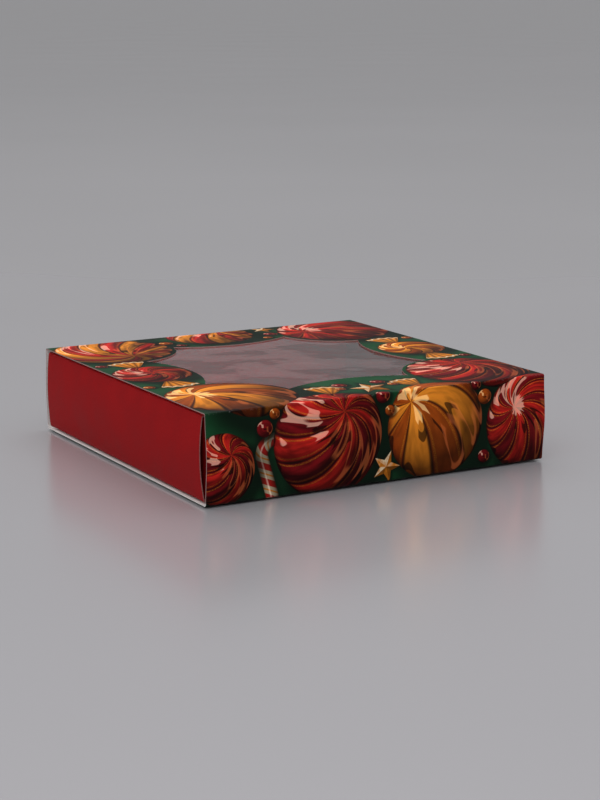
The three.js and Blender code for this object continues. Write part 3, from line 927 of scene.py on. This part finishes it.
def makeFilm():
    start = (filmLow.x, filmLow.y, filmHigh.z)
    piece = startBoard("windowFilm", start, (filmHigh.x - filmLow.x, 0, 0))
    walkBoard(start, (0, 1, 0), (1, 0, 0), [{"run": filmHigh.y - filmLow.y}])
    bpy.ops.mesh.select_all(action="SELECT")
    bpy.ops.mesh.bevel(affect="VERTICES", offset=film["cornerRadius"], segments=film["cornerParts"])
    cutAcross(0, filmLow.x, filmHigh.x, film["grid"])
    cutAcross(1, filmLow.y, filmHigh.y, film["grid"])
    faceOut((0, 0, 1))
    thicken(piece, [filmMaterial] * 3, filmHigh.z - filmLow.z)
    finishPiece(piece, "sleeve", ["window_film"])
    piece.visible_shadow = False  # lamps shine through


makeFilm()
print("window film laid in")


# tray

tray = {
    "gridWide": 24,
    "gridUp": 6,
    "bowParts": 14,
    "lean": math.radians(16.5),  # how far an end wall leans out as it leaves its fold
    "frontBow": 0.6,  # share of the bow left at an end wall's front corner
    "backBow": 0.4,
    "backReach": 1.2 * millimetre,  # how much further an end wall runs at the back
    "ridgeRadius": 1.0 * millimetre,
    "ridgeDrop": 0.4 * millimetre,  # the fold is pressed a little low
    "frontTaper": math.radians(1.8),  # slant of an end wall's front edge, away from the sleeve at the top
    "tongueWidth": 24 * millimetre,
    "tongueTaper": 2 * millimetre,
    "tongueSpacing": 64 * millimetre,
    "tabTaper": 3 * millimetre,
}


def makeTrayBase():
    start = (baseLow.x, baseLow.y, baseLow.z)
    piece = startBoard("trayBase", start, (baseHigh.x - baseLow.x, 0, 0))
    walkBoard(start, (0, 1, 0), (1, 0, 0), [{"run": baseHigh.y - baseLow.y}])
    faceOut((0, 0, -1))
    thicken(piece, [redBoard, redInsidePaintedLight, redEdge])
    inX, inY = baseHigh.x - creaseRadius / 4, baseHigh.y - creaseRadius / 4  # clear of the outer edges
    cutter = holeCutter("tray_base", lambda co: abs(co.x) < inX and abs(co.y) < inY, "slotCutter")
    cutHole(piece, cutter, redEdge)
    finishPiece(piece, "tray", ["tray_base"])


def makeTrayEnd(side, name):
    wallLow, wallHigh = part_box(f"tray_{name}_end_wall")
    ridgeLow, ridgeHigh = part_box(f"tray_{name}_end_ridge")
    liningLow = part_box(f"tray_{name}_end_lining")[0]
    foot = wallLow.z
    top = wallHigh.z - tray["ridgeDrop"]
    lean = tray["lean"]
    ridge = tray["ridgeRadius"]
    back = wallHigh.y + tray["backReach"]
    rise = top - foot - (creaseRadius + ridge) * (1 - math.sin(lean))  # from fold to fold
    start = (side * baseHigh.x, wallLow.y, foot)
    piece = startBoard(f"tray{name.title()}End", start, (0, back - wallLow.y, 0))
    walkBoard(start, (side, 0, 0), (0, -side, 0), [
        crease(math.pi / 2 - lean),
        crease(2 * lean, rise / 2 / math.sin(lean), tray["bowParts"]),
        crease(math.pi / 2 - lean, ridge),
        {"run": ridgeHigh.x - ridgeLow.x - creaseRadius - (ridge - creaseRadius) * math.cos(lean)},
        crease(),
        {"run": top - creaseRadius - baseHigh.z},
    ])
    chord = side * (baseHigh.x + creaseRadius * math.cos(lean))  # the bow starts and ends here
    cutAcross(1, wallLow.y, back, tray["gridWide"])
    for column in range(tray["gridWide"] + 1):  # the corners hold the wall back
        share = column / tray["gridWide"]
        held = tray["frontBow"] if share < 0.5 else tray["backBow"]
        bow = 1 - (1 - held) * (2 * share - 1) ** 2
        place = wallLow.y + (back - wallLow.y) * share
        pick("verts", lambda co: abs(co.y - place) < nearly and side * (co.x - chord) > nearly)
        bpy.ops.transform.resize(value=(bow, 1, 1), center_override=(chord, 0, 0))
    pick("verts", lambda co: co.y < wallLow.y + nearly)
    bpy.ops.transform.rotate(
        value=tray["frontTaper"], orient_axis="X", center_override=(0, wallLow.y, foot)
    )
    # tongues that drop into the slots of the base
    half = tray["tongueWidth"] / 2
    for centre in (-tray["tongueSpacing"] / 2, tray["tongueSpacing"] / 2):
        for limit in (centre - half, centre + half):
            bpy.ops.mesh.select_all(action="SELECT")
            bpy.ops.mesh.bisect(plane_co=(0, limit, 0), plane_no=(0, 1, 0))
        pick("edges", lambda co: abs(co.z - baseHigh.z) < nearly and abs(co.y - centre) < half + nearly
             and side * co.x < baseHigh.x)
        drop = (0, 0, liningLow.z - baseHigh.z)
        bpy.ops.mesh.extrude_region_move(TRANSFORM_OT_translate={"value": drop})
        narrowed = 1 - tray["tongueTaper"] / half
        bpy.ops.transform.resize(value=(1, narrowed, 1), center_override=(0, centre, 0))
    faceOut((side * 1.0, 0, sleeveHeight / 2))
    thicken(piece, [redBoard, redInsidePaintedLight, redEdge])
    finishPiece(piece, "tray", [
        f"tray_{name}_end_wall", f"tray_{name}_end_ridge", f"tray_{name}_end_lining",
    ])


def makeTraySide(side, name):
    wallLow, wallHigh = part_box(f"tray_{name}_wall")
    start = (wallLow.x, side * baseHigh.y, wallLow.z)
    piece = startBoard(f"tray{name.title()}Side", start, (wallHigh.x - wallLow.x, 0, 0))
    walkBoard(start, (0, side, 0), (side, 0, 0), [
        crease(),
        {"run": wallHigh.z - wallLow.z - creaseRadius},
    ])
    cutAcross(0, wallLow.x, wallHigh.x, tray["gridWide"])
    cutAcross(2, wallLow.z, wallHigh.z, tray["gridUp"])
    faceOut((0, side * 1.0, sleeveHeight / 2))
    thicken(piece, [redBoard, redInsidePaintedLight, redEdge])
    finishPiece(piece, "tray", [f"tray_{name}_wall"])


def makeTrayTab(side, sideName, end, endName):
    node = f"tray_{sideName}_{endName}_tab"
    tabLow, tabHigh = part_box(node)
    face = tabLow.x if end < 0 else tabHigh.x
    outer = tabLow.y if side < 0 else tabHigh.y
    start = (face - end * creaseRadius, outer, tabLow.z)
    name = f"tray{sideName.title()}{endName.title()}Corner"
    piece = startBoard(name, start, (0, 0, tabHigh.z - tabLow.z))
    freeEdge = walkBoard(start, (end, 0, 0), (0, 0, -side * end), [
        crease(),
        {"run": tabHigh.y - tabLow.y - creaseRadius},
    ])
    pick("verts", lambda co: abs(co.y - freeEdge.y) < nearly)
    narrowed = 1 - 2 * tray["tabTaper"] / (tabHigh.z - tabLow.z)
    middle = (face, freeEdge.y, (tabLow.z + tabHigh.z) / 2)
    bpy.ops.transform.resize(value=(1, 1, narrowed), center_override=middle)
    faceOut((end * 1.0, freeEdge.y, sleeveHeight / 2))
    # the tab's outside takes the darker red, painted shade; its inside takes the lighter red, painted light
    thicken(piece, [redTabPaintedShade, redInsidePaintedLight, redEdge])
    finishPiece(piece, "tray", [node])


makeTrayBase()
for end, endName in ((-1, "left"), (1, "right")):
    makeTrayEnd(end, endName)
for side, sideName in ((-1, "front"), (1, "back")):
    makeTraySide(side, sideName)
    for end, endName in ((-1, "left"), (1, "right")):
        makeTrayTab(side, sideName, end, endName)
print("tray folded and locked")

for node in ("sleeve_seam_glue", "window_glue_frame"):
    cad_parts[node].data.materials.clear()
    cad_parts[node].data.materials.append(glueMaterial)


# studio

studio = {
    "cameraPlace": Vector((-361.07, -649.26, 173.92)) * millimetre,
    "azimuth": math.radians(-29.5),
    "elevation": math.radians(11.884),
    "focalPixels": 1907.6,
    "imageHeight": 800,
    "sensorHeight": 24.0,
    "nearest": 10 * millimetre,
    "floorRadius": 300.0,  # so wide that no edge of it shows
    "floorParts": 96,
    "floorCloud": 3.0,
    "floorDark": (0.476, 0.464, 0.486),
    "floorLight": (0.496, 0.483, 0.506),
    "floorRough": (0.18, 0.22),
    "floorCoat": 0.9,  # a lacquered table top
    "floorCoatRough": 0.23,
    "floorGap": 0.75 * millimetre,  # the sleeve's bottom never lies quite flat
    "worldHorizon": (0.23, 0.23, 0.235),
    "worldLow": (0.288, 0.288, 0.293),
    "worldHigh": (0.74, 0.74, 0.75),
    "horizonFade": (0.01, 0.11),  # upward parts of a direction
    "overheadFade": (0.33, 0.75),
    # place, aim, size and power
    "lamps": {
        "overhead": ((0.45, 0.85, 1.7), (0.45, 0.85, 0), (1.8, 1.8), 8.8),
        "frontLeft": ((-1.4, -1.4, 1.8), (0, 0, 0), (2.0, 2.0), 16.5),
    },
}


def makeCamera():
    data = bpy.data.cameras.new("photoCamera")
    data.sensor_fit = "VERTICAL"
    data.sensor_height = studio["sensorHeight"]
    data.lens = studio["focalPixels"] * studio["sensorHeight"] / studio["imageHeight"]
    data.clip_start = studio["nearest"]
    data.clip_end = 2 * studio["floorRadius"]
    camera = bpy.data.objects.new("photoCamera", data)
    bpy.context.collection.objects.link(camera)
    camera.location = studio["cameraPlace"]
    camera.rotation_euler = (math.pi / 2 - studio["elevation"], 0, studio["azimuth"])
    bpy.context.scene.camera = camera


def makeFloor():
    clearSelection()
    bpy.ops.mesh.primitive_circle_add(
        vertices=studio["floorParts"],
        radius=studio["floorRadius"],
        fill_type="NGON",
        location=(0, 0, -studio["floorGap"]),
    )
    floor = bpy.context.object
    floor.name = "floor"
    material, tree, shader, place = startMaterial("floorGrey")
    cloud = noise(tree, place, studio["floorCloud"])
    wire(tree, shader.inputs["Base Color"], mixed(tree, cloud, studio["floorDark"], studio["floorLight"]))
    wire(tree, shader.inputs["Roughness"], fade(tree, cloud, *noiseSpan, *studio["floorRough"]))
    wire(tree, shader.inputs["Coat Weight"], studio["floorCoat"])
    wire(tree, shader.inputs["Coat Roughness"], studio["floorCoatRough"])
    floor.data.materials.append(material)


def makeLamp(name, place, target, size, power):
    data = bpy.data.lights.new(name, "AREA")
    data.shape = "RECTANGLE"
    data.size, data.size_y = size
    data.energy = power
    lamp = bpy.data.objects.new(name, data)
    bpy.context.collection.objects.link(lamp)
    lamp.location = place
    lamp.rotation_euler = (Vector(target) - Vector(place)).to_track_quat("-Z", "Y").to_euler()


def makeWorld():  # dim at the horizon, even above it, brighter overhead
    world = bpy.data.worlds.new("studioWorld")
    bpy.context.scene.world = world
    world.use_nodes = True
    tree = world.node_tree
    heading = tree.nodes.new("ShaderNodeTexCoord").outputs["Generated"]
    upward = dot(tree, heading, (0, 0, 1))
    fromHorizon = fade(tree, upward, *studio["horizonFade"])
    glow = mixed(tree, fromHorizon, studio["worldHorizon"], studio["worldLow"])
    glow = mixed(tree, fade(tree, upward, *studio["overheadFade"]), glow, studio["worldHigh"])
    wire(tree, tree.nodes["Background"].inputs["Color"], glow)


makeCamera()
makeFloor()
for lampName, values in studio["lamps"].items():
    makeLamp(lampName, *values)
makeWorld()
bpy.context.scene.view_settings.view_transform = "Standard"
print("studio set")
